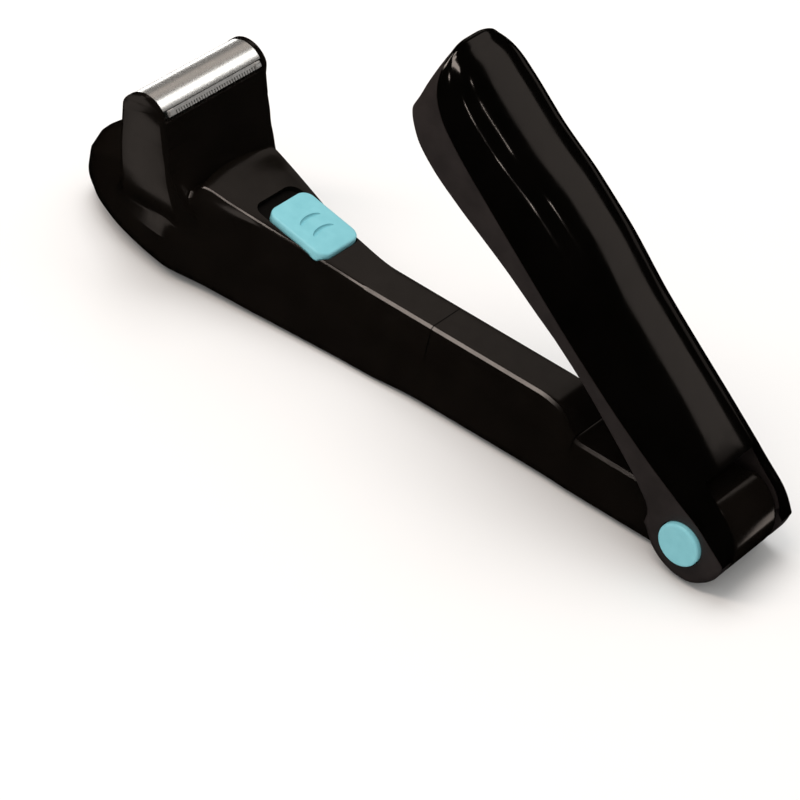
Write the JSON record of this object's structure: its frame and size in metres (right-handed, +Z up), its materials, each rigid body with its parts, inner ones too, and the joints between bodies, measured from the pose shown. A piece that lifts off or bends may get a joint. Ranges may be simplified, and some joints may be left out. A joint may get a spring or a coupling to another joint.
{
  "type": "folding back shaver",
  "caption": "Battery shaver with a foil head and trimmer comb, and a channel handle that folds over the arm on a toothed lock hinge.",
  "frame": {"origin": "on the flat underside of the arm, on its middle plane, 100 mm from the hinge axis", "axes": "+X along the arm from the head to the hinge, +Y across the shaver away from the release button, +Z up out of the arm towards the foil"},
  "size_m": [0.2425, 0.044, 0.1171],
  "materials": {
    "shell": "moulded gloss black",
    "gloss_shell": "high gloss black",
    "satin_shell": "satin warm black",
    "teal_button": "satin pale teal",
    "plated_steel": "plated",
    "blade_steel": "bright ground",
    "white_nylon": "natural nylon",
    "circuit_board": "solder mask",
    "battery_sleeve": "printed film, left plain"
  },
  "bodies": {
    "shaver_body": {"body_upper_shell": "shell", "body_lower_shell": "shell", "battery_cell": "battery_sleeve", "battery_spring": "plated_steel", "battery_spring_plate": "plated_steel", "battery_contact": "plated_steel", "motor": "plated_steel", "motor_cradle": "white_nylon", "head_deck": "white_nylon", "switch_board": "circuit_board", "slide_switch": "plated_steel", "hinge_pin": "plated_steel", "knuckle_lock_ring": "plated_steel", "release_spring": "plated_steel", "casing_screw_1": "plated_steel", "casing_screw_2": "plated_steel", "casing_screw_3": "plated_steel", "casing_screw_4": "plated_steel"},
    "battery_cover": {"battery_cover": "shell"},
    "power_switch": {"power_switch": "teal_button"},
    "foil_head": {"foil_frame": "shell", "shaving_foil": "blade_steel", "trimmer_comb": "blade_steel", "comb_bracket_near": "blade_steel", "comb_bracket_far": "blade_steel"},
    "trimmer": {"trimmer_blade": "blade_steel"},
    "cutter": {"cutter_carrier": "white_nylon", "inner_cutter": "blade_steel"},
    "motor_rotor": {"motor_shaft": "plated_steel", "drive_eccentric": "white_nylon"},
    "handle": {"handle_outer_shell": "gloss_shell", "handle_inner_shell": "satin_shell", "handle_screw_1": "plated_steel", "handle_screw_2": "plated_steel", "handle_screw_3": "plated_steel", "pivot_cap": "satin_shell", "cheek_lock_ring": "plated_steel"},
    "release_button": {"release_button": "teal_button", "lock_gear": "plated_steel"}
  },
  "joints": [
    {"name": "cover_lift", "type": "slide", "parent": "shaver_body", "child": "battery_cover", "axis": [0, 0, 1], "range_m": [0, 0.012]},
    {"name": "power_slide", "type": "slide", "parent": "shaver_body", "child": "power_switch", "axis": [-0.9799, 0, 0.1994], "range_m": [0, 0.0045]},
    {"name": "head_lift", "type": "slide", "parent": "shaver_body", "child": "foil_head", "axis": [0, 0, 1], "range_m": [0, 0.015]},
    {"name": "trimmer_stroke", "type": "slide", "parent": "foil_head", "child": "trimmer", "axis": [0, 1, 0], "range_m": [-0.0012, 0.0012]},
    {"name": "cutter_stroke", "type": "slide", "parent": "shaver_body", "child": "cutter", "axis": [0, 1, 0], "range_m": [-0.0012, 0.0012]},
    {"name": "motor_spin", "type": "hinge", "parent": "shaver_body", "child": "motor_rotor", "pos_m": [-0.09213, 0, 0.03], "axis": [0, 0, 1], "continuous": true},
    {"name": "handle_hinge", "type": "hinge", "parent": "shaver_body", "child": "handle", "pos_m": [0.1, 0, 0.0132], "axis": [0, 1, 0], "range_deg": [-37.5, 139.5]},
    {"name": "button_press", "type": "slide", "parent": "shaver_body", "child": "release_button", "axis": [0, 1, 0], "range_m": [0, 0.0023], "stiffness_N_per_m": 200, "deforming": ["release_spring"]}
  ],
  "couplings": [
    {"joint": "trimmer_stroke", "follows": "cutter_stroke", "ratio": 1}
  ]
}
